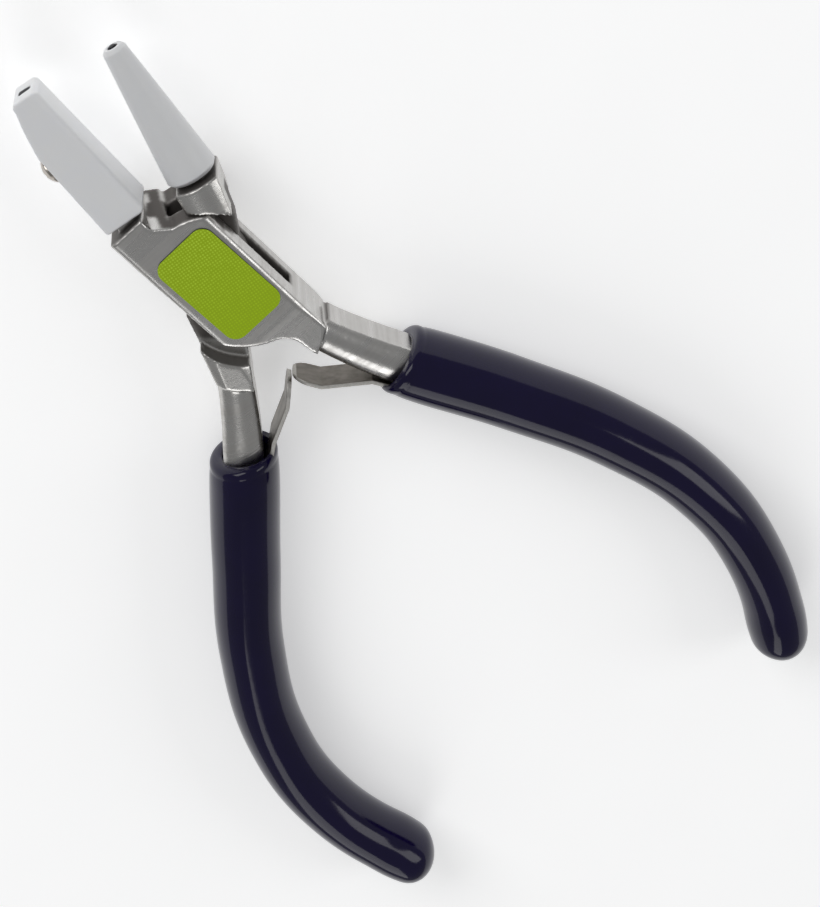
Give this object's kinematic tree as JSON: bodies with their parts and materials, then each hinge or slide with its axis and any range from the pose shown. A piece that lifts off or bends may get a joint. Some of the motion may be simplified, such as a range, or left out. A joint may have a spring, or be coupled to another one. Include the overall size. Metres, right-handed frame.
{
  "type": "running pliers",
  "caption": "Small box-joint pliers held open by leaf springs, with a flat and a conical nylon-covered jaw and dipped vinyl grips.",
  "frame": {"origin": "on the pivot axis, level with the flat back cheek of the box joint", "axes": "+Z along the pivot axis, from the back cheek to the labelled front cheek; +Y along the centre line towards the jaws; +X to the side of the conical jaw"},
  "size_m": [0.085, 0.1375, 0.0134],
  "materials": {
    "satin_steel": "belt-ground satin steel",
    "nylon": "milky white machined nylon, slightly translucent",
    "bright_steel": "bright plated steel",
    "label_film": "satin printed film, lime green",
    "spring_steel": "rolled spring steel with sheared edges",
    "grip_vinyl": "glossy dark navy dipped vinyl"
  },
  "bodies": {
    "box_half": {"box_half": "satin_steel", "pivot_rivet": "satin_steel", "flat_jaw_boot": "nylon", "jaw_screw": "bright_steel", "label_plate": "label_film", "right_grip": "grip_vinyl", "right_leaf_spring": "spring_steel", "right_spring_rivet": "bright_steel"},
    "tongue_half": {"tongue_half": "satin_steel", "cone_jaw_sleeve": "nylon", "left_grip": "grip_vinyl", "left_leaf_spring": "spring_steel", "left_spring_rivet": "bright_steel"}
  },
  "joints": [
    {"name": "pivot", "type": "hinge", "parent": "box_half", "child": "tongue_half", "pos_m": [0, 0, 0.0048], "axis": [0, 0, 1], "range_deg": [-6, 16], "stiffness_Nm_per_rad": 1.1, "deforming": ["right_leaf_spring", "left_leaf_spring"]}
  ]
}
